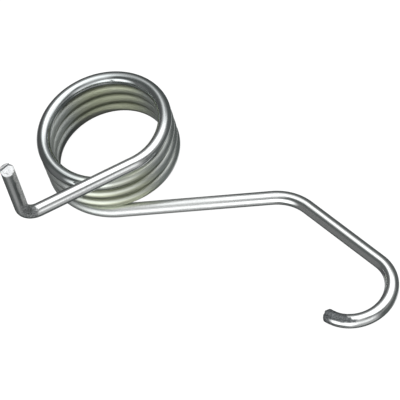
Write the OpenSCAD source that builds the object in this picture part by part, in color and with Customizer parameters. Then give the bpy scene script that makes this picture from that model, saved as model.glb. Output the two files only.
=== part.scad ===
// Torsion spring, bent cold from one length of round wire.
//
// The coil's axis is Z and the spring lies on z = 0, on its last turn and its long leg.
// The long leg leaves the coil along +X, then turns at a knee and ends in an open hook.
// At the top of the coil the wire turns in, crosses over the first turn as the short leg
// and ends in a tip that stands up square to the leg.
// The coil is wound left-hand: seen from above it runs anticlockwise on its way down.

/* [Wire] */
// Diameter of the wire
wire_d = 3; // [2:0.1:4]

/* [Coil] */
// Inside diameter of the coil
coil_id = 24.4; // [18:0.1:36]
// Turns of the coil, to the nearest whole turn
coil_turns = 4; // [2:1:8]
// Free gap between one turn and the next
turn_gap = 0.12; // [0.1:0.01:0.6]
// Angle from one leg to the other, seen along the coil's axis
leg_angle = 152; // [120:1:170]

/* [Long leg] */
// Least free gap between the long leg and the turn above it
leg_gap = 0.04; // [0.02:0.01:0.08]
// Angle of the last stretch of coil, where the wire opens out into the long leg
lead_out_angle = 45; // [20:1:60]
// Straight length from the coil to the knee
long_leg = 33.5; // [20:0.5:80]
// Inside radius of the knee
knee_r = 9.5; // [3:0.1:15]
// Angle that the knee turns
knee_angle = 45; // [20:1:90]
// Straight length from the knee to the hook
shank = 21.5; // [10:0.5:60]
// Inside radius of the hook
hook_r = 6.7; // [3:0.1:12]
// Angle that the hook turns
hook_angle = 180; // [90:1:200]

/* [Short leg] */
// Inside radius of the bend from the coil into the short leg
turn_in_r = 9.5; // [6:0.1:12]
// Angle of that bend
turn_in_angle = 30; // [24:1:45]
// Straight length of the short leg
short_leg = 22.3; // [18:0.1:50]
// Inside radius of the bend from the short leg into the tip
tip_bend_r = 1.9; // [1:0.1:6]
// Angle of that bend
tip_angle = 90; // [45:1:120]
// Straight length of the tip
tip_length = 13.5; // [5:0.5:40]

/* [Hidden] */

// Every bend, and every second arc of the coil, is a hair thicker than the wire between
// them and runs a little way into it, so that the pieces join into one solid.
seat = 0.01;
overlap = 0.6;
// Facets round the wire and along a bend
wire_fn = 32;
bend_fn = 72;
// The longest arc that the coil is made of, in degrees
arc_max = 45;

wire_r = wire_d / 2;
mean_r = coil_id / 2 + wire_r;
pitch = wire_d + turn_gap;
turn_in_mean_r = turn_in_r + wire_r;

// The long leg is level, while the turn above it still falls, so the last stretch opens out
// to a larger radius and takes the leg clear of that turn. The two draw closer in height and
// part sideways, both as the square of the distance along them. So the ratio of the two rates
// sets the least gap, and the radius follows from it.
closing_ratio = sqrt(pow(pitch / (wire_d + leg_gap), 2) - 1);
lead_out_mean_r = mean_r + pitch / (2 * PI * closing_ratio * lead_out_angle * PI / 180);

// Angle that the wire turns through from the short leg to the long leg
total_angle = 360 * coil_turns - (180 - leg_angle);
// An odd number of arcs, so that the first and the last are both plain ones
arcs = 2 * ceil((total_angle - turn_in_angle - lead_out_angle) / arc_max / 2) + 1;

// The coil is a chain of flat arcs. Each lies in a plane tilted by arc_tilt, and meets the
// next with one tangent, which falls at the slope end_slope and stands square to the radius.
// First the slope of a true helix gives the plan angles that the two end bends take up.
helix_slope = atan(pitch / (2 * PI * mean_r));
turn_in_plan = 2 * asin(sin(turn_in_angle / 2) / cos(helix_slope));
lead_out_plan = atan(tan(lead_out_angle) * cos(helix_slope)
                     * cos(asin(tan(helix_slope) / tan(lead_out_angle))));
coil_angle = total_angle - turn_in_plan - lead_out_plan;
step = coil_angle / arcs;
arc_rise = pitch * step / 360;
arc_tilt = atan(arc_rise / (2 * mean_r * sin(step / 2)));
arc_angle = 2 * atan(tan(step / 2) * cos(arc_tilt));
arc_r = mean_r * cos(step / 2) / (cos(arc_angle / 2) * pow(cos(arc_tilt), 2));
arc_offset = mean_r * cos(step / 2) - arc_r * cos(arc_angle / 2);
end_slope = asin(sin(arc_tilt) * cos(arc_angle / 2));

// The long leg is level: the opening bend leaves the coil rolled by lead_out_roll, takes up
// the slope over its length and comes out rolled by level_roll.
lead_out_roll = asin(tan(end_slope) / tan(lead_out_angle));
level_roll = asin(sin(end_slope) / sin(lead_out_angle));
lead_out_drop = lead_out_mean_r * sin(end_slope) * tan(lead_out_angle / 2);

// The bend into the short leg is rolled a little, so that the leg climbs as steeply as the
// coil and keeps its gap to the first turn. The tip then stands in an upright plane.
turn_in_roll = asin(tan(end_slope) * tan(turn_in_angle / 2));

// Where the coil proper starts, at the top, and ends, at the bottom
bottom_angle = -90 - lead_out_plan;
top_angle = bottom_angle - coil_angle;
bottom_z = wire_r + seat + lead_out_drop;
top_z = bottom_z + arcs * arc_rise;

// The modules below draw the wire from where it is, heading along +X, and then draw their
// children from where it ends. A bend turns the heading towards +Y.

module straight(length) {
    rotate([0, 90, 0]) cylinder(d = wire_d, h = length, $fn = wire_fn);
    translate([length, 0, 0]) children();
}

module bend(radius, angle) {
    translate([0, radius, 0])
        rotate([0, 0, -90 - overlap])
            rotate_extrude(angle = angle + 2 * overlap, $fn = bend_fn)
                translate([radius, 0]) circle(d = wire_d + 2 * seat, $fn = wire_fn);
    translate([0, radius, 0]) rotate([0, 0, angle]) translate([0, -radius, 0]) children();
}

module roll(angle) {
    rotate([angle, 0, 0]) children();
}

// One arc of the coil, centred on the X axis and falling towards +Y
module coil_arc(is_thick) {
    extra = is_thick ? overlap : 0;
    rotate([-arc_tilt, 0, 0])
        translate([arc_offset, 0, 0])
            rotate([0, 0, -arc_angle / 2 - extra])
                rotate_extrude(angle = arc_angle + 2 * extra, $fn = bend_fn)
                    translate([arc_r, 0])
                        circle(d = wire_d + (is_thick ? 2 * seat : 0), $fn = wire_fn);
}

module coil() {
    for (i = [0 : arcs - 1])
        rotate([0, 0, top_angle + step * (i + 0.5)])
            translate([0, 0, top_z - arc_rise * (i + 0.5)])
                coil_arc(i % 2 == 1);
}

module long_leg_and_hook() {
    rotate([0, 0, bottom_angle])
        translate([mean_r, 0, bottom_z])
            rotate([0, 0, 90]) rotate([0, end_slope, 0])
                roll(lead_out_roll) bend(lead_out_mean_r, lead_out_angle)
                    roll(180 - level_roll) straight(long_leg)
                        bend(knee_r + wire_r, knee_angle)
                            straight(shank)
                                bend(hook_r + wire_r, hook_angle);
}

module short_leg_and_tip() {
    rotate([0, 0, top_angle])
        translate([mean_r, 0, top_z])
            rotate([180, 0, -90]) rotate([0, end_slope, 0])
                roll(-turn_in_roll) bend(turn_in_mean_r, turn_in_angle)
                    straight(short_leg)
                        roll(-90 - turn_in_roll) bend(tip_bend_r + wire_r, tip_angle)
                            straight(tip_length);
}

module torsion_spring() {
    color("silver")
        union() {
            coil();
            long_leg_and_hook();
            short_leg_and_tip();
        }
}

torsion_spring();
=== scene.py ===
"""The looks of the torsion spring: one length of bright plated wire, drawn, coiled and bent.

The wire is built as a sweep along the same centre line as the CAD model: the coil's chain of
flat arcs, the long leg with its knee and hook, and the short leg with its upright tip.
Lengths are in millimetres and angles in degrees until a point is placed, in metres.
"""
import math

import bpy
import numpy as np
from mathutils import Matrix, noise


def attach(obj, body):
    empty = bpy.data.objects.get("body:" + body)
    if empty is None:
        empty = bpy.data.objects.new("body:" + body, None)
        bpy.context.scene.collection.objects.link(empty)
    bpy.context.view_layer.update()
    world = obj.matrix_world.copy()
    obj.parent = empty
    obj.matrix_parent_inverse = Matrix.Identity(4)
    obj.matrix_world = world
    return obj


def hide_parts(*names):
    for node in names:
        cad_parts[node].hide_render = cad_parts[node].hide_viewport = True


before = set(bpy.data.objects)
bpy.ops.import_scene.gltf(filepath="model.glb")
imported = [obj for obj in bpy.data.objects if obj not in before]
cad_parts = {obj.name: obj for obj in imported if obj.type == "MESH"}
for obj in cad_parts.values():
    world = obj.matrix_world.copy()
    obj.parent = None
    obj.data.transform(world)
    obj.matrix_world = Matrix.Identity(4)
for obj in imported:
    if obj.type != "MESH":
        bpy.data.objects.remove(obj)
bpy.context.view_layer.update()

MM = 0.001

# ---------------------------------------------------------------- the spring's sizes

WIRE_R = 1.5
SEAT = 0.01  # by which the CAD model's bends are thicker than the wire between them

COIL_ID = 24.4
COIL_TURNS = 4
TURN_GAP = 0.12
LEG_ANGLE = 152.0
ARC_MAX = 45.0  # the longest flat arc that the coil is made of

LEG_GAP = 0.04  # least gap between the long leg and the turn above it
LEAD_OUT_ANGLE = 45.0
LONG_LEG = 33.5
KNEE_R = 9.5
KNEE_ANGLE = 45.0
SHANK = 21.5
HOOK_R = 6.7
HOOK_ANGLE = 180.0

TURN_IN_R = 9.5
TURN_IN_ANGLE = 30.0
SHORT_LEG = 22.3
TIP_BEND_R = 1.9
TIP_ANGLE = 90.0
TIP_LENGTH = 13.5

MEAN_R = COIL_ID / 2 + WIRE_R
PITCH = 2 * WIRE_R + TURN_GAP
TURN_LENGTH = 2 * math.pi * MEAN_R

# The long leg and the turn above it draw closer in height and part sideways. The ratio of the
# two rates sets their least gap, and the radius of the bend between coil and leg follows.
CLOSING_RATIO = math.sqrt((PITCH / (2 * WIRE_R + LEG_GAP)) ** 2 - 1)
LEAD_OUT_R = MEAN_R + PITCH / (2 * math.pi * CLOSING_RATIO * math.radians(LEAD_OUT_ANGLE))

# ---------------------------------------------------------------- the centre line

SAMPLE = 0.2  # spacing of the points that the centre line is worked out at


def sin(angle):
    """The sine of an angle in degrees. The four below work in degrees too."""
    return math.sin(math.radians(angle))


def cos(angle):
    return math.cos(math.radians(angle))


def tan(angle):
    return math.tan(math.radians(angle))


def asin(ratio):
    return math.degrees(math.asin(ratio))


def atan(ratio):
    return math.degrees(math.atan(ratio))


def turned(axis, angle):
    """A 4x4 turn about the x, y or z axis."""
    i, j = {"x": (1, 2), "y": (2, 0), "z": (0, 1)}[axis]
    matrix = np.eye(4)
    matrix[i, i] = matrix[j, j] = cos(angle)
    matrix[i, j], matrix[j, i] = -sin(angle), sin(angle)
    return matrix


def moved(x, y, z):
    """A 4x4 move."""
    matrix = np.eye(4)
    matrix[:3, 3] = x, y, z
    return matrix


class Walk:
    """Goes along the wire from a starting place, heading along its own +X, and notes points."""

    def __init__(self, place):
        self.place = place
        self.points = [place[:3, 3]]

    def note(self, along):
        self.points += list((along @ self.place.T)[:, :3])

    def straight(self, length):
        s = np.linspace(0, length, math.ceil(length / SAMPLE) + 1)[1:]
        self.note(np.stack([s, 0 * s, 0 * s, 1 + 0 * s], 1))
        self.place = self.place @ moved(length, 0, 0)
        return self

    def bend(self, radius, angle):
        """Turns the heading towards +Y."""
        count = math.ceil(radius * math.radians(angle) / SAMPLE)
        a = np.linspace(0, math.radians(angle), count + 1)[1:]
        self.note(np.stack([radius * np.sin(a), radius * (1 - np.cos(a)), 0 * a, 1 + 0 * a], 1))
        turn = moved(0, radius, 0) @ turned("z", angle) @ moved(0, -radius, 0)
        self.place = self.place @ turn
        return self

    def roll(self, angle):
        self.place = self.place @ turned("x", angle)
        return self


def centre_line():
    """Points along the wire, from the end of the tip to the end of the hook."""
    total = 360 * COIL_TURNS - (180 - LEG_ANGLE)
    arcs = 2 * math.ceil((total - TURN_IN_ANGLE - LEAD_OUT_ANGLE) / ARC_MAX / 2) + 1
    slope = atan(PITCH / (2 * math.pi * MEAN_R))
    turn_in_plan = 2 * asin(sin(TURN_IN_ANGLE / 2) / cos(slope))
    lead_out_share = cos(asin(tan(slope) / tan(LEAD_OUT_ANGLE)))
    lead_out_plan = atan(tan(LEAD_OUT_ANGLE) * cos(slope) * lead_out_share)

    # Each arc of the coil is flat and tilted, and meets the next one with one tangent.
    coil_angle = total - turn_in_plan - lead_out_plan
    step = coil_angle / arcs
    rise = PITCH * step / 360
    tilt = atan(rise / (2 * MEAN_R * sin(step / 2)))
    arc_angle = 2 * atan(tan(step / 2) * cos(tilt))
    arc_r = MEAN_R * cos(step / 2) / (cos(arc_angle / 2) * cos(tilt) ** 2)
    offset = MEAN_R * cos(step / 2) - arc_r * cos(arc_angle / 2)
    end_slope = asin(sin(tilt) * cos(arc_angle / 2))

    # The bends at both ends of the coil are rolled. The one at the bottom takes up the slope.
    lead_out_roll = asin(tan(end_slope) / tan(LEAD_OUT_ANGLE))
    level_roll = asin(sin(end_slope) / sin(LEAD_OUT_ANGLE))
    drop = LEAD_OUT_R * sin(end_slope) * tan(LEAD_OUT_ANGLE / 2)
    turn_in_roll = asin(tan(end_slope) * tan(TURN_IN_ANGLE / 2))

    bottom_angle = -90 - lead_out_plan
    top_angle = bottom_angle - coil_angle
    bottom_z = WIRE_R + SEAT + drop
    top_z = bottom_z + arcs * rise

    start = turned("z", top_angle) @ moved(MEAN_R, 0, top_z) @ turned("x", 180) @ turned("z", 90)
    near = Walk(start @ turned("y", end_slope))
    near.roll(-turn_in_roll).bend(TURN_IN_R + WIRE_R, TURN_IN_ANGLE).straight(SHORT_LEG)
    near.roll(-90 - turn_in_roll).bend(TIP_BEND_R + WIRE_R, TIP_ANGLE).straight(TIP_LENGTH)

    coil = []
    for i in range(arcs):
        place = turned("z", top_angle + step * (i + 0.5)) @ moved(0, 0, top_z - rise * (i + 0.5))
        place = place @ turned("x", -tilt) @ moved(offset, 0, 0)
        place = place @ turned("z", -arc_angle / 2) @ moved(arc_r, 0, 0)
        arc = Walk(place @ turned("z", 90))
        arc.bend(arc_r, arc_angle)
        coil += arc.points[1:-1] if i == arcs - 1 else arc.points[1:]

    start = turned("z", bottom_angle) @ moved(MEAN_R, 0, bottom_z) @ turned("z", 90)
    far = Walk(start @ turned("y", end_slope))
    far.roll(lead_out_roll).bend(LEAD_OUT_R, LEAD_OUT_ANGLE).roll(180 - level_roll)
    far.straight(LONG_LEG).bend(KNEE_R + WIRE_R, KNEE_ANGLE)
    far.straight(SHANK).bend(HOOK_R + WIRE_R, HOOK_ANGLE)
    return np.array(near.points[::-1] + coil + far.points)


class Wire:
    """Places a point that is s along the wire and (x, y) off its centre, without any twist."""

    def __init__(self, points):
        self.points = points
        steps = np.linalg.norm(np.diff(points, axis=0), axis=1)
        self.s = np.concatenate([[0], np.cumsum(steps)])
        self.length = self.s[-1]
        heading = np.gradient(points, self.s, axis=0)
        self.heading = heading / np.linalg.norm(heading, axis=1)[:, None]
        side = np.zeros_like(points)
        side[0] = np.cross(self.heading[0], [0, 1, 0])
        side[0] /= np.linalg.norm(side[0])
        for i in range(len(points) - 1):
            side[i + 1] = self.carried(i, side[i])
        self.side = side
        self.other = np.cross(self.heading, side)

    def carried(self, i, side):
        """The side vector taken from point i to the next by two reflections, so without twist."""
        gap = self.points[i + 1] - self.points[i]
        half = side - 2 * gap.dot(side) / gap.dot(gap) * gap
        middle = self.heading[i] - 2 * gap.dot(self.heading[i]) / gap.dot(gap) * gap
        gap = self.heading[i + 1] - middle
        if gap.dot(gap) > 1e-18:
            half = half - 2 * gap.dot(half) / gap.dot(gap) * gap
        return half / np.linalg.norm(half)

    def at(self, s, rows):
        """Vectors known at each point of the centre line, read off at the distances s."""
        return np.stack([np.interp(s, self.s, rows[:, k]) for k in range(3)], -1)

    def place(self, s, x, y):
        beyond = (s - np.clip(s, 0, self.length))[..., None] * self.at(s, self.heading)
        return (self.at(s, self.points) + beyond
                + x[..., None] * self.at(s, self.side) + y[..., None] * self.at(s, self.other))


wire = Wire(centre_line())

# Places on the wire, as distances from the end of the tip
BEND_END = TIP_LENGTH + math.radians(TIP_ANGLE) * (TIP_BEND_R + WIRE_R)
COIL_START = BEND_END + SHORT_LEG + math.radians(TURN_IN_ANGLE) * (TURN_IN_R + WIRE_R)
SECOND_TURN = COIL_START + TURN_LENGTH
HOOK_LENGTH = math.radians(HOOK_ANGLE) * (HOOK_R + WIRE_R)
KNEE_LENGTH = math.radians(KNEE_ANGLE) * (KNEE_R + WIRE_R)
LEAD_OUT_LENGTH = math.radians(LEAD_OUT_ANGLE) * LEAD_OUT_R
COIL_END = wire.length - HOOK_LENGTH - SHANK - KNEE_LENGTH - LONG_LEG - LEAD_OUT_LENGTH
LAST_TURN = COIL_END - TURN_LENGTH

# ---------------------------------------------------------------- shapes of a value


def towards(x, y, side):
    """How far (x, y) lies from the wire's centre towards a side, an angle round the wire."""
    return x * cos(side) + y * sin(side)


def smooth_step(value, low, high):
    t = np.clip((value - low) / (high - low), 0, 1)
    return t * t * (3 - 2 * t)


def bump(value, middle, width):
    return np.exp(-((value - middle) / width) ** 2)


def stretch(s, rise, fall):
    """1 on a stretch of the wire that starts over one pair of distances and ends over another."""
    return smooth_step(s, *rise) * (1 - smooth_step(s, *fall))


def ripple(s, x, y, scale):
    """Smooth noise from about -0.5 to 0.5 on the wire's surface, with features 1/scale wide."""
    spots = zip(s * scale, x * scale, y * scale)
    return np.array([0.5 * noise.noise(spot) for spot in spots])


# ---------------------------------------------------------------- the sheared ends

EDGE_R = 0.07  # rounding of the edge round each cut face
SHEAR_ANGLE = 16.0  # by which both cuts are out of square
ROLLED_RIM = (0.6, 1.02)  # where the high edge rolls over, in wire radii from the centre

# On each face, a side is an angle round the wire from its side vector.
TIP_LOW_SIDE = 73.0  # the side that the tip's cut falls towards
TIP_ROLLED = 0.28  # how far down its high edge is rolled
TIP_CREASE_SIDE = -130.0  # the side that the torn edge is on
TIP_CREASE = 0.78  # how far the crease in front of it lies from the centre
TIP_CREASE_WIDTH = 0.06
TIP_CREASE_DEPTH = 0.14
TIP_LIP = (0.02, 0.12)  # where the torn lip starts and is whole, beyond the crease
TIP_LIP_DEPTH = 0.05
TIP_PITS = ((103, 0.86, 0.22), (125, 1.02, 0.15), (84, 0.95, 0.12))  # side, place, width
TIP_PIT_DEPTH = 0.05

HOOK_LOW_SIDE = 180.0
HOOK_ROLLED = 0.55
HOOK_NICK_SIDE = 262.0
HOOK_NICK = (0.7, 1.4)  # where the nick starts and is whole, from the centre
HOOK_NICK_WIDTH = 0.28
HOOK_NICK_DEPTH = 0.16


def sheared(x, y, low_side, rolled):
    """Depth of a cut face below the wire's full length: a slope whose high edge is rolled over."""
    low = towards(x, y, low_side)
    rim = smooth_step(np.hypot(x, y) / WIRE_R, *ROLLED_RIM)
    return tan(SHEAR_ANGLE) * (WIRE_R + low) + rolled * rim * smooth_step(-low, 0, WIRE_R)


def tip_cut(x, y):
    across = towards(x, y, TIP_CREASE_SIDE)
    lip = smooth_step(across - TIP_CREASE, *TIP_LIP)
    depth = sheared(x, y, TIP_LOW_SIDE, TIP_ROLLED) * (1 - lip) + TIP_LIP_DEPTH * lip
    depth = depth + TIP_CREASE_DEPTH * bump(across, TIP_CREASE, TIP_CREASE_WIDTH)
    for side, radius, size in TIP_PITS:
        off = np.hypot(x - radius * cos(side), y - radius * sin(side))
        depth = depth + TIP_PIT_DEPTH * bump(off, 0, size)
    return depth


def hook_cut(x, y):
    across = bump(towards(x, y, HOOK_NICK_SIDE + 90), 0, HOOK_NICK_WIDTH)
    nick = across * smooth_step(towards(x, y, HOOK_NICK_SIDE), *HOOK_NICK)
    return sheared(x, y, HOOK_LOW_SIDE, HOOK_ROLLED) + HOOK_NICK_DEPTH * nick


# ---------------------------------------------------------------- marks of the bending tools

RAGGED = 1.4  # scale of the noise that makes the edges of the marks ragged

BEND_SCUFF = (10.0, 17.2)  # the stretch at the tip's bend that the bending pin rubbed
BEND_FADE = 3.0  # length that it starts over
BEND_SIDE = 28.0  # the side that it is on
BEND_BULGE = 0.9  # how much further the scuff runs in its middle
RUB_SIDE = 12.0  # side of the tip that slid along the pin
RUB_END = (11.5, 14.5)  # distances that the rubbed band ends over
TIP_MARKS_END = BEND_SCUFF[1] + 3.0  # beyond every mark at the tip

HOOK_SCUFF = 7.3  # length of the stretch that was held while the hook was bent
HOOK_SCUFF_SIDE = 308.0
HOOK_SLANT = 1.9  # how much shorter that stretch is on its upper side
HOOK_SLANT_SIDE = 330.0
HOOK_END = (1.9, 2.9)  # how far back from the end the wire is scuffed all round
HOOK_WORN_SIDE = 335.0  # side of the hook's end where the corner is worn round
HOOK_WORN = (0.1, 1.3)  # how far back from the end it is worn
HOOK_WORN_DEPTH = 0.25
HOOK_MARKS_START = wire.length - HOOK_SCUFF - 2.0  # before every mark at the hook

DENT = 0.03  # how far the scuffed wire is pressed in
DENT_RIPPLE = 0.07  # how much that varies
DENT_SCALE = 1.2


def bend_scuff(s, x, y, ragged):
    """1 where the bending pin scuffed the tip's bend, 0 elsewhere."""
    start, end = BEND_SCUFF
    side = towards(x, y, BEND_SIDE) / WIRE_R
    past = s - end - BEND_BULGE * smooth_step(side, 0.2, 0.95) - 0.8 * ragged
    along = smooth_step(s, start, start + BEND_FADE) * (1 - smooth_step(past, -0.12, 0.12))
    return along * smooth_step(side + 0.5 * ragged, 0.40, 0.75)


def hook_scuff(s, x, y, ragged):
    """1 where the hook was held while it was bent, and round its very end, 0 elsewhere."""
    left = wire.length - s
    slant = smooth_step(towards(x, y, HOOK_SLANT_SIDE) / WIRE_R, 0.1, 1.0)
    reach = HOOK_SCUFF - HOOK_SLANT * slant + ragged
    held = smooth_step(towards(x, y, HOOK_SCUFF_SIDE) / WIRE_R + 0.3 * ragged, 0.3, 0.45)
    held = held * (1 - smooth_step(left - reach, -0.3, 0.3))
    return np.maximum(held, 1 - smooth_step(left + 1.2 * ragged, *HOOK_END))


def scuffed(s, x, y):
    """1 where a bending tool has scuffed the plating, 0 elsewhere."""
    ragged = ripple(s, x, y, RAGGED)
    return np.maximum(bend_scuff(s, x, y, ragged), hook_scuff(s, x, y, ragged))


def rubbed(s, x, y):
    """1 where the tip slid along the bending pin and was left matt, 0 elsewhere."""
    ragged = ripple(s, x, y, RAGGED)
    side = smooth_step(towards(x, y, RUB_SIDE) / WIRE_R + 0.15 * ragged, 0.79, 0.91)
    return side * (1 - smooth_step(s, *RUB_END))


def dent(s, x, y):
    """How far the worked stretches are pressed in, in millimetres."""
    worn = (1 - smooth_step(wire.length - s, *HOOK_WORN)) ** 2
    worn = worn * smooth_step(towards(x, y, HOOK_WORN_SIDE) / WIRE_R, 0.4, 0.9)
    pressed = DENT + DENT_RIPPLE * ripple(s, x, y, DENT_SCALE)
    return scuffed(s, x, y) * pressed + HOOK_WORN_DEPTH * worn


# ---------------------------------------------------------------- the rings of the mesh

SIDES = 64
RING = 0.4  # spacing of the mesh's rings
FINE_RING = 0.2  # spacing of rings where a tool has worked the wire
FACE_RING = 0.05  # spacing of rings on a cut face
FIRST_RING = EDGE_R + 0.06  # how far from the end the wall's first ring stands
CUT_REACH = 4.0  # how far a cut's slope pulls the rings behind it along


def ring_places():
    """Distances along the wire that its rings stand at, before the cuts move the outer ones."""
    stops = [FIRST_RING, BEND_SCUFF[0], BEND_SCUFF[1] + 1,
             wire.length - HOOK_SCUFF, wire.length - FIRST_RING]
    spacings = [RING, FINE_RING, RING, FINE_RING]
    places = [stops[0]]
    for low, high, spacing in zip(stops, stops[1:], spacings):
        places += list(np.linspace(low, high, math.ceil((high - low) / spacing) + 1)[1:])
    return places


def ring(radius):
    turn = np.arange(SIDES) * 2 * math.pi / SIDES
    return radius * np.cos(turn), radius * np.sin(turn)


def face_rings(cut):
    """Rings over a cut face, from its centre to the wall, as (depth, x, y)."""
    rings = []
    for radius in np.arange(FACE_RING, WIRE_R - EDGE_R, FACE_RING):
        x, y = ring(radius)
        rings.append((cut(x, y), x, y))
    for angle in (90, 60, 30, 0):
        x, y = ring(WIRE_R - EDGE_R * (1 - cos(angle)))
        rings.append((cut(x, y) + EDGE_R * (1 - sin(angle)), x, y))
    return rings


def wire_rings():
    """All the wire's rings, from the tip's end to the hook's, as (distance, x, y)."""
    x, y = ring(WIRE_R)
    rings = face_rings(tip_cut)
    for s in ring_places():
        tip_share = max(0, 1 - s / CUT_REACH)
        hook_share = max(0, 1 - (wire.length - s) / CUT_REACH)
        rings.append((s + tip_cut(x, y) * tip_share - hook_cut(x, y) * hook_share, x, y))
    rings += [(wire.length - depth, a, b) for depth, a, b in face_rings(hook_cut)[::-1]]
    return rings


def wire_faces(count):
    """The faces between so many rings, and the fans that close both ends."""
    last = 1 + (count - 1) * SIDES
    faces = []
    for k in range(SIDES):
        after = (k + 1) % SIDES
        faces.append((0, 1 + after, 1 + k))
        for i in range(count - 1):
            a, b = 1 + i * SIDES + k, 1 + i * SIDES + after
            faces.append((a, b, b + SIDES, a + SIDES))
        faces.append((last + SIDES, last + k, last + after))
    return faces


# ---------------------------------------------------------------- how the plating varies, and painted shade and highlight

# Stretches of the wire, each as the distances that it starts over and ends over
COILED = (COIL_START - 4, COIL_START), (COIL_END, COIL_END + 4)
FILMED = (SECOND_TURN - 25, SECOND_TURN), (COIL_END - 8, COIL_END + 8)
INSIDE_OF_TURNS = (SECOND_TURN - 12, SECOND_TURN), (COIL_END - 8, COIL_END)
SHADED = (LAST_TURN, LAST_TURN + 8), (COIL_END - 8, COIL_END)
STREAKED = (2.0, 5.0), (9.0, 13.0)
DULL = (44, 60), (364, 380)  # the coil
MATT = (112, 130), (366, 384)  # its lower turns
SATIN = (366, 384), (392, 420)  # the start of the long leg
SCUFF_DARKENS = (100, 300)  # the scuffs on the hook's side of this are darker

COVERED = (SECOND_TURN - 4, SECOND_TURN)  # the turns start to lie under another one
BARE_BELOW = (LAST_TURN, LAST_TURN + 4)  # and here they stop lying on another one

# The patches of oily film: their angles round the coil, and the cosine where each one ends
FILM_PATCHES = ((93, 0.60), (281, 0.70))
PAINTED_HIGHLIGHT_BAND = (0.62, 0.22)  # height and width of the band where the front patch is halved: a painted highlight
BRIGHT_SIDE = 17.0  # angle round the coil where the lower turns have kept their shine
BRIGHT_EDGE = 0.55
WHOLE = 0.96  # the cosine from which a patch or a bright side is whole

# Painted shade along the lower edge inside the last turn: how steep the surface is where it
# starts, how much higher it starts where it is widest, and the angle round the coil where that is
SHADE_TOP = 0.0
SHADE_RISE = 0.5
SHADE_SIDE = 145.0

STREAK_SIDE = 56.0  # side of the tip that the streak of dirt is on
RIM_SIDE = -100.0  # side of its cut face where the colour is darker along the rim
RIM = (1.34, 1.45)  # where that starts and is whole, from the centre


def facing(point, angle):
    """Cosine of the angle round the coil between a point and a direction."""
    return np.cos(np.arctan2(point[:, 1], point[:, 0]) - math.radians(angle))


def inwardness(point, out):
    """1 where the wire's surface faces the coil's axis, -1 where it faces away."""
    return -np.sum(out[:, :2] * point[:, :2], 1) / (np.hypot(point[:, 0], point[:, 1]) * WIRE_R)


def crevice_shade(s, out):
    """1 where a turn of the coil all but touches the next one, 0 where it is open: painted shade."""
    up = smooth_step(out[:, 2] / WIRE_R, 0.7, 0.98) * smooth_step(s, *COVERED)
    down = smooth_step(-out[:, 2] / WIRE_R, -0.2, 0.25) * (1 - smooth_step(s, *BARE_BELOW))
    return np.maximum(up, down) * stretch(s, *COILED)


def film_with_painted_highlight(s, point, out):
    """1 where the lower turns have kept an oily film, which is in two patches round the coil.

    Along a band on the wire's shoulder the front patch is halved, which paints a lighter highlight
    there.
    """
    back, front = (smooth_step(facing(point, angle), edge, WHOLE) for angle, edge in FILM_PATCHES)
    shoulder = bump(out[:, 2] / WIRE_R, *PAINTED_HIGHLIGHT_BAND)
    return stretch(s, *FILMED) * np.maximum(back, front * (1 - 0.5 * shoulder))


def bright(point):
    """1 on the side of the coil where the lower turns have kept their shine, 0 elsewhere."""
    return smooth_step(facing(point, BRIGHT_SIDE), BRIGHT_EDGE, WHOLE)


def shaded(s, point, out):
    """1 along the inside of the last turn's lower edge, which is darkened as painted shade, 0
    elsewhere.
    """
    wide = smooth_step(facing(point, SHADE_SIDE), 0.35, 0.95)
    low = smooth_step(SHADE_TOP + SHADE_RISE * wide - out[:, 2] / WIRE_R, -0.15, 0.15)
    return low * stretch(s, *SHADED) * smooth_step(inwardness(point, out), 0.0, 0.3)


def inner(s, point, out):
    """1 on the inside of the lower turns, which is rougher and darkened a little as painted shade, 0
    elsewhere.
    """
    return smooth_step(inwardness(point, out), -0.1, 0.6) * stretch(s, *INSIDE_OF_TURNS)


def dirt_and_crease_shade(s, x, y):
    """1 where the colour is darkened: painted shade in the crease of the tip's cut face, a darker
    band along part of its rim, and a streak of dirt beside the rubbed band.
    """
    on_face = (s < CUT_REACH) & (np.hypot(x, y) < WIRE_R - 0.001)
    crease = bump(towards(x, y, TIP_CREASE_SIDE), TIP_CREASE, TIP_CREASE_WIDTH)
    rim = smooth_step(np.hypot(x, y), *RIM)
    rim = rim * smooth_step(towards(x, y, RIM_SIDE) / WIRE_R, 0.0, 0.4)
    streak = smooth_step(towards(x, y, STREAK_SIDE) / WIRE_R, 0.955, 0.995)
    streak = streak * stretch(s, *STREAKED) * ~on_face
    return np.maximum(np.maximum(crease, 0.6 * rim) * on_face, 0.4 * streak)


def where_worked(mark, s, x, y):
    """A tool's mark, worked out only near the wire's ends, and 0 between them."""
    values = np.zeros(len(s))
    near = (s < TIP_MARKS_END) | (s > HOOK_MARKS_START)
    values[near] = mark(s[near], x[near], y[near])
    return values


def add_attribute(mesh, name, values):
    """A value or a vector for each point, for the material to read."""
    kind, field = ("FLOAT", "value") if values.ndim == 1 else ("FLOAT_VECTOR", "vector")
    layer = mesh.attributes.new(name, kind, "POINT")
    layer.data.foreach_set(field, values.astype(np.float32).ravel())


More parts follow.
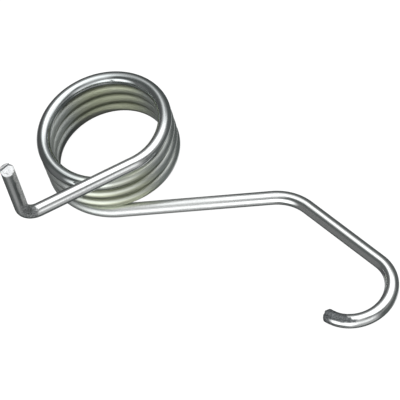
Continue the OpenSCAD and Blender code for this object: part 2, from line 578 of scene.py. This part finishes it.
def build_wire(name):
    rings = wire_rings()
    tip_end = [[tip_cut(0.0, 0.0), 0, 0]]
    hook_end = [[wire.length - hook_cut(0.0, 0.0), 0, 0]]
    flat = np.concatenate([tip_end, *[np.stack(r, -1) for r in rings], hook_end])
    s, x, y = flat.T
    scale = 1 - where_worked(dent, s, x, y) / WIRE_R
    mesh = bpy.data.meshes.new(name)
    mesh.from_pydata((wire.place(s, x * scale, y * scale) * MM).tolist(), [], wire_faces(len(rings)))

    point = wire.at(s, wire.points)
    out = wire.at(s, wire.side) * x[:, None] + wire.at(s, wire.other) * y[:, None]
    add_attribute(mesh, "wire", flat)
    add_attribute(mesh, "scuff", where_worked(scuffed, s, x, y))
    add_attribute(mesh, "rub", where_worked(rubbed, s, x, y))
    add_attribute(mesh, "cut", smooth_step(WIRE_R - np.hypot(x, y), 0, 0.6 * EDGE_R))
    add_attribute(mesh, "dirt_and_shade", dirt_and_crease_shade(s, x, y))
    add_attribute(mesh, "crevice_shade", crevice_shade(s, out))
    add_attribute(mesh, "film", film_with_painted_highlight(s, point, out))
    add_attribute(mesh, "bright", bright(point))
    add_attribute(mesh, "shade", shaded(s, point, out))
    add_attribute(mesh, "inner", inner(s, point, out))
    mesh.shade_smooth()
    piece = bpy.data.objects.new(name, mesh)
    bpy.context.scene.collection.objects.link(piece)
    return piece


# ---------------------------------------------------------------- nodes


def put(tree, socket, value):
    """Links a socket, or sets it to a plain value."""
    if isinstance(value, bpy.types.NodeSocket):
        tree.links.new(value, socket)
    else:
        socket.default_value = value


def calc(tree, operation, *values):
    """One Math node."""
    node = tree.nodes.new("ShaderNodeMath")
    node.operation = operation
    for socket, value in zip(node.inputs, values):
        put(tree, socket, value)
    return node.outputs[0]


def vector_calc(tree, operation, output, *values):
    """One Vector Math node."""
    node = tree.nodes.new("ShaderNodeVectorMath")
    node.operation = operation
    for socket, value in zip(node.inputs, values):
        put(tree, socket, value)
    return node.outputs[output]


def ramp(tree, value, low, high, to_low=0.0, to_high=1.0):
    """A smooth step of value between low and high, which falls if low is above high."""
    node = tree.nodes.new("ShaderNodeMapRange")
    node.interpolation_type = "SMOOTHSTEP"
    for socket, number in zip(node.inputs, (value, low, high, to_low, to_high)):
        put(tree, socket, number)
    return node.outputs[0]


def stretch_node(tree, s, rise, fall):
    """What stretch() gives, as nodes."""
    return calc(tree, "MULTIPLY", ramp(tree, s, *rise), ramp(tree, s, *reversed(fall)))


def mixed(tree, factor, a, b):
    node = tree.nodes.new("ShaderNodeMix")
    node.data_type = "RGBA"
    put(tree, node.inputs[0], factor)
    put(tree, node.inputs[6], a)
    put(tree, node.inputs[7], b)
    return node.outputs[2]


def attribute(tree, name, output="Fac"):
    node = tree.nodes.new("ShaderNodeAttribute")
    node.attribute_name = name
    return node.outputs[output]


def noise_value(tree, vector, scale, detail, roughness=0.5):
    node = tree.nodes.new("ShaderNodeTexNoise")
    put(tree, node.inputs["Vector"], vector)
    node.inputs["Scale"].default_value = scale
    node.inputs["Detail"].default_value = detail
    node.inputs["Roughness"].default_value = roughness
    return node.outputs["Fac"]


def bumped(tree, height, distance, strength=1.0, normal=None):
    node = tree.nodes.new("ShaderNodeBump")
    node.inputs["Strength"].default_value = strength
    node.inputs["Distance"].default_value = distance
    put(tree, node.inputs["Height"], height)
    if normal is not None:
        put(tree, node.inputs["Normal"], normal)
    return node.outputs["Normal"]


# ---------------------------------------------------------------- studio light

PLAIN = 1.0  # brightness of the room to everything but mirror reflections
FLOOR_GLOW = 0.95  # brightness of the light that the floor gives off
DARK = (0.106, 0.114, 0.112, 1)  # what the wire mirrors between the cards

# The wire mirrors these cards, and mirrors neither the floor nor the plain room. Each stands far
# off at an azimuth and elevation, with half its width and height as angles, the softness of its
# edge, and a brightness. A later card stands in front of an earlier one.
#
# This table doesn't come from a design of the light. Twelve of its rows began as a least-squares
# fit to brightness measured in the reference picture, and most were then changed. The places and
# sizes of flag, room and top are still that fit, rounded. side, fill, front_dim and key_side were
# added to it.
CARDS = {
    "flag": (145, -8, 35, 44, 9, 0.10),
    "side": (195, -5, 14, 39, 10, 0.18),
    "fill": (352, 20, 30, 9, 7, 0.30),
    "room": (65, 49, 46, 20, 15, 0.38),
    "low": (143, -30, 11, 9, 6, 0.60),
    "kicker": (54, -55, 23, 9, 7, 0.78),
    "front_dim": (250, -52, 16, 9, 12, 0.33),
    "front_low": (260, -26, 7, 14, 7, 0.60),
    "front_high": (266, 54, 17, 10, 6, 0.50),
    "spill": (24, 42, 22, 9, 8, 1.10),
    "key_right": (293, 1, 26, 45, 10, 0.44),
    "key_side": (282, 13, 28, 18, 9, 1.05),
    "key_left": (243, 9, 28, 24, 12, 1.75),
    "top": (166, 88, 24, 15, 6, 1.05),
    "ceiling": (22, 62, 27, 18, 8, 1.30),
    "overhead": (64, 72, 26, 23, 12, 1.85),
}


def card_shape(tree, ray, azimuth, elevation, half_width, half_height, softness):
    """1 where the ray meets the card, falling to 0 across its edge."""
    level = cos(elevation)
    middle = (cos(azimuth) * level, sin(azimuth) * level, sin(elevation))
    right = (-sin(azimuth), cos(azimuth), 0.0)
    up = (-cos(azimuth) * sin(elevation), -sin(azimuth) * sin(elevation), level)
    ahead = vector_calc(tree, "DOT_PRODUCT", "Value", ray, middle)
    shape = ramp(tree, ahead, 0.0, 0.05)
    for axis, half in ((right, half_width), (up, half_height)):
        across = vector_calc(tree, "DOT_PRODUCT", "Value", ray, axis)
        off = calc(tree, "ARCTAN2", calc(tree, "ABSOLUTE", across), ahead)
        edge = ramp(tree, off, math.radians(half + softness), math.radians(half - softness))
        shape = calc(tree, "MULTIPLY", shape, edge)
    return shape


def studio_light():
    """The cards to mirror reflections, and a plain white room to everything else."""
    world = bpy.data.worlds.new("studio")
    bpy.context.scene.world = world
    world.use_nodes = True
    tree = world.node_tree
    tree.nodes.clear()
    ray = tree.nodes.new("ShaderNodeTexCoord").outputs["Generated"]
    light = DARK
    for *place, brightness in CARDS.values():
        light = mixed(tree, card_shape(tree, ray, *place), light, (brightness,) * 3 + (1,))
    cards = tree.nodes.new("ShaderNodeBackground")
    put(tree, cards.inputs["Color"], light)
    plain = tree.nodes.new("ShaderNodeBackground")
    plain.inputs["Color"].default_value = (1, 1, 1, 1)
    plain.inputs["Strength"].default_value = PLAIN
    path = tree.nodes.new("ShaderNodeLightPath")
    mix = tree.nodes.new("ShaderNodeMixShader")
    put(tree, mix.inputs[0], path.outputs["Is Glossy Ray"])
    put(tree, mix.inputs[1], plain.outputs[0])
    put(tree, mix.inputs[2], cards.outputs[0])
    out = tree.nodes.new("ShaderNodeOutputWorld")
    put(tree, out.inputs["Surface"], mix.outputs[0])


# ---------------------------------------------------------------- the plated wire

EDGE_TINT = (0.70, 0.71, 0.72, 1)  # how much the metal reflects at a glancing angle

ZINC = (0.90, 0.92, 0.915, 1)
DULL_ZINC = (0.66, 0.70, 0.70, 1)
MATT_ZINC = (0.75, 0.79, 0.77, 1)
SPECKLES = (0.42, 0.43, 0.44, 1)
OILY_FILM = (0.665, 0.705, 0.52, 1)
# painted shade on the inside of the lower turns
PAINTED_INSIDE_SHADE = (0.05, 0.06, 0.04, 1)
DRAWN_LINES = (0.40, 0.41, 0.42, 1)
# painted shade in the crevices between the turns of the coil
PAINTED_CREVICE_SHADE = (0.20, 0.21, 0.15, 1)
# painted shade along the lower edge inside the last turn
PAINTED_EDGE_SHADE = (0.145, 0.15, 0.145, 1)
# dirt, and painted shade in the crease of the tip's cut face
DIRT_AND_SHADE = (0.06, 0.06, 0.065, 1)

# Metal that is mottled between a dark and a light colour
CUT_STEEL = (0.48, 0.49, 0.50, 1), (0.66, 0.67, 0.675, 1)
RUBBED_ZINC = (0.66, 0.68, 0.67, 1), (1.0, 1.0, 0.98, 1)
TIP_SCUFF = (0.20, 0.21, 0.215, 1), (0.66, 0.68, 0.68, 1)
HOOK_SCUFF_METAL = (0.14, 0.15, 0.155, 1), (0.27, 0.283, 0.29, 1)

PLATED_ROUGH = (0.10, 0.15)
MATT_ROUGH = (0.26, 0.13)  # what the matt turns add, away from their bright side and on it
LINE_DEPTH = 0.00002  # of the lines left by drawing, in metres
GRAIN_DEPTH = 0.00003  # of the grain where a tool has worked the wire, in metres


def new_material(name):
    material = bpy.data.materials.new(name)
    material.use_nodes = True
    return material, material.node_tree, material.node_tree.nodes["Principled BSDF"]


class Surface:
    """What the wire's material reads at each point: its place, the marks on it, and noise."""

    def __init__(self, tree):
        self.tree = tree
        place = attribute(tree, "wire", "Vector")
        along = tree.nodes.new("ShaderNodeSeparateXYZ")
        put(tree, along.inputs[0], place)
        self.s = along.outputs[0]
        self.scuff = attribute(tree, "scuff")
        self.rub = attribute(tree, "rub")
        self.cut = attribute(tree, "cut")
        self.inner = attribute(tree, "inner")
        self.matt = stretch_node(tree, self.s, *MATT)
        self.clouds = noise_value(tree, self.stretched(place, (0.12, 0.5, 0.5)), 1.0, 3.0)
        self.lines = noise_value(tree, self.stretched(place, (0.06, 4.0, 4.0)), 1.0, 3.0)
        self.mottle = noise_value(tree, place, 3.2, 4.0, 0.65)
        self.grain = noise_value(tree, place, 9.0, 2.0, 0.6)

    def stretched(self, place, scale):
        return vector_calc(self.tree, "MULTIPLY", "Vector", place, scale)

    def mottled(self, low, high, colours):
        return mixed(self.tree, ramp(self.tree, self.mottle, low, high), *colours)

    def plating(self):
        """The colour of the zinc, with its dull stretch, speckles, film, drawn lines, a painted
        highlight and painted shade.
        """
        tree = self.tree
        colour = mixed(tree, stretch_node(tree, self.s, *DULL), ZINC, DULL_ZINC)
        speckle = ramp(tree, self.clouds, 0.35, 0.65, 0.1, 0.3)
        speckle = calc(tree, "MULTIPLY", ramp(tree, self.mottle, 0.42, 0.62), speckle)
        colour = mixed(tree, speckle, colour, SPECKLES)
        colour = mixed(tree, self.matt, colour, MATT_ZINC)
        # the oily film, halved along a band on the front patch's shoulder as a painted highlight
        film = ramp(tree, self.clouds, 0.25, 0.6, 0.75, 1.0)
        film = calc(tree, "MULTIPLY", attribute(tree, "film"), film)
        colour = mixed(tree, film, colour, OILY_FILM)
        # painted shade: the inside of the lower turns is darkened a little
        colour = mixed(tree, calc(tree, "MULTIPLY", self.inner, 0.03), colour, PAINTED_INSIDE_SHADE)
        return mixed(tree, ramp(tree, self.lines, 0.35, 0.7, 0.0, 0.16), colour, DRAWN_LINES)

    def colour(self):
        """The plating's colour, with the marks of the tools, dirt and painted shade over it."""
        tree = self.tree
        colour = mixed(tree, self.cut, self.plating(), self.mottled(0.35, 0.65, CUT_STEEL))
        colour = mixed(tree, self.rub, colour, self.mottled(0.35, 0.65, RUBBED_ZINC))
        to_hook = ramp(tree, self.s, *SCUFF_DARKENS)
        shades = [mixed(tree, to_hook, *pair) for pair in zip(TIP_SCUFF, HOOK_SCUFF_METAL)]
        scuff = calc(tree, "MULTIPLY", self.scuff, calc(tree, "SUBTRACT", 1.0, self.cut))
        colour = mixed(tree, scuff, colour, self.mottled(0.38, 0.64, shades))
        # painted shade in the crevices between the turns and along the lower edge inside the last
        # turn
        for mark, share, dark in (("crevice_shade", 0.7, PAINTED_CREVICE_SHADE), ("shade", 0.8, PAINTED_EDGE_SHADE)):
            factor = calc(tree, "MULTIPLY", attribute(tree, mark), share)
            colour = mixed(tree, factor, colour, dark)
        # dirt beside the rubbed band, painted shade in the tip's crease, and a darker band along its
        # rim
        return mixed(tree, attribute(tree, "dirt_and_shade"), colour, DIRT_AND_SHADE)

    def roughness(self):
        tree = self.tree
        rough = ramp(tree, self.clouds, 0.3, 0.7, *PLATED_ROUGH)
        matt = ramp(tree, attribute(tree, "bright"), 0, 1, *MATT_ROUGH)
        rough = calc(tree, "ADD", rough, calc(tree, "MULTIPLY", self.matt, matt))
        satin = stretch_node(tree, self.s, *SATIN)
        rougher = ((satin, 0.29), (self.inner, 0.13), (self.scuff, 0.45), (self.rub, 0.55),
                   (self.cut, 0.14))
        for mark, extra in rougher:
            rough = calc(tree, "ADD", rough, calc(tree, "MULTIPLY", mark, extra))
        return rough

    def normal(self):
        """The fine lines left by drawing, and a grain where a tool has worked the wire."""
        tree = self.tree
        coarse = calc(tree, "MAXIMUM", calc(tree, "MAXIMUM", self.scuff, self.cut), self.rub)
        grain = calc(tree, "MULTIPLY", self.grain, coarse)
        return bumped(tree, grain, GRAIN_DEPTH, 0.8, bumped(tree, self.lines, LINE_DEPTH))


def plated_wire():
    """Bright zinc over drawn wire, with an oily film on the coil and scuffs from the tools."""
    material, tree, shader = new_material("plated_wire")
    shader.inputs["Metallic"].default_value = 1.0
    shader.inputs["Specular Tint"].default_value = EDGE_TINT
    surface = Surface(tree)
    put(tree, shader.inputs["Base Color"], surface.colour())
    put(tree, shader.inputs["Roughness"], surface.roughness())
    put(tree, shader.inputs["Normal"], surface.normal())
    return material


# ---------------------------------------------------------------- floor and camera

FLOOR = 2.0  # metres from its centre to each side


def floor_paint():
    """A matt surface that gives off light, as a light table does."""
    material, tree, shader = new_material("floor_paint")
    shader.inputs["Base Color"].default_value = (0.15, 0.15, 0.15, 1)
    shader.inputs["Emission Color"].default_value = (1, 1, 1, 1)
    shader.inputs["Emission Strength"].default_value = FLOOR_GLOW
    shader.inputs["Roughness"].default_value = 0.9
    shader.inputs["Specular IOR Level"].default_value = 0.0
    return material


def make_floor():
    mesh = bpy.data.meshes.new("floor")
    corners = [(-FLOOR, -FLOOR, 0), (FLOOR, -FLOOR, 0), (FLOOR, FLOOR, 0), (-FLOOR, FLOOR, 0)]
    mesh.from_pydata(corners, [], [(0, 1, 2, 3)])
    floor = bpy.data.objects.new("floor", mesh)
    bpy.context.scene.collection.objects.link(floor)
    floor.data.materials.append(floor_paint())
    floor.visible_glossy = False


TARGET = (21.08, -18.13, 8.0)  # what the camera looks at
DISTANCE = 451.2
AZIMUTH = -73.12
ELEVATION = 53.35
ROLL = 18.37
LENS = 191.3
SENSOR = 36


def make_camera():
    back = np.array([cos(AZIMUTH) * cos(ELEVATION), sin(AZIMUTH) * cos(ELEVATION), sin(ELEVATION)])
    level = np.array([-sin(AZIMUTH), cos(AZIMUTH), 0])
    level_up = np.cross(back, level)
    matrix = np.eye(4)
    matrix[:3, 0] = cos(ROLL) * level - sin(ROLL) * level_up
    matrix[:3, 1] = cos(ROLL) * level_up + sin(ROLL) * level
    matrix[:3, 2] = back
    matrix[:3, 3] = (np.array(TARGET) + DISTANCE * back) * MM
    data = bpy.data.cameras.new("camera")
    data.lens = LENS
    data.sensor_width = SENSOR
    data.clip_start = 0.01
    camera = bpy.data.objects.new("camera", data)
    bpy.context.scene.collection.objects.link(camera)
    camera.matrix_world = Matrix(matrix.tolist())
    bpy.context.scene.camera = camera


# ---------------------------------------------------------------- put together

spring_wire = build_wire("spring_wire")
spring_wire.data.materials.append(plated_wire())
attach(spring_wire, "root")
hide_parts("torsion_spring")

studio_light()
make_floor()
make_camera()
bpy.context.scene.view_settings.view_transform = "Standard"
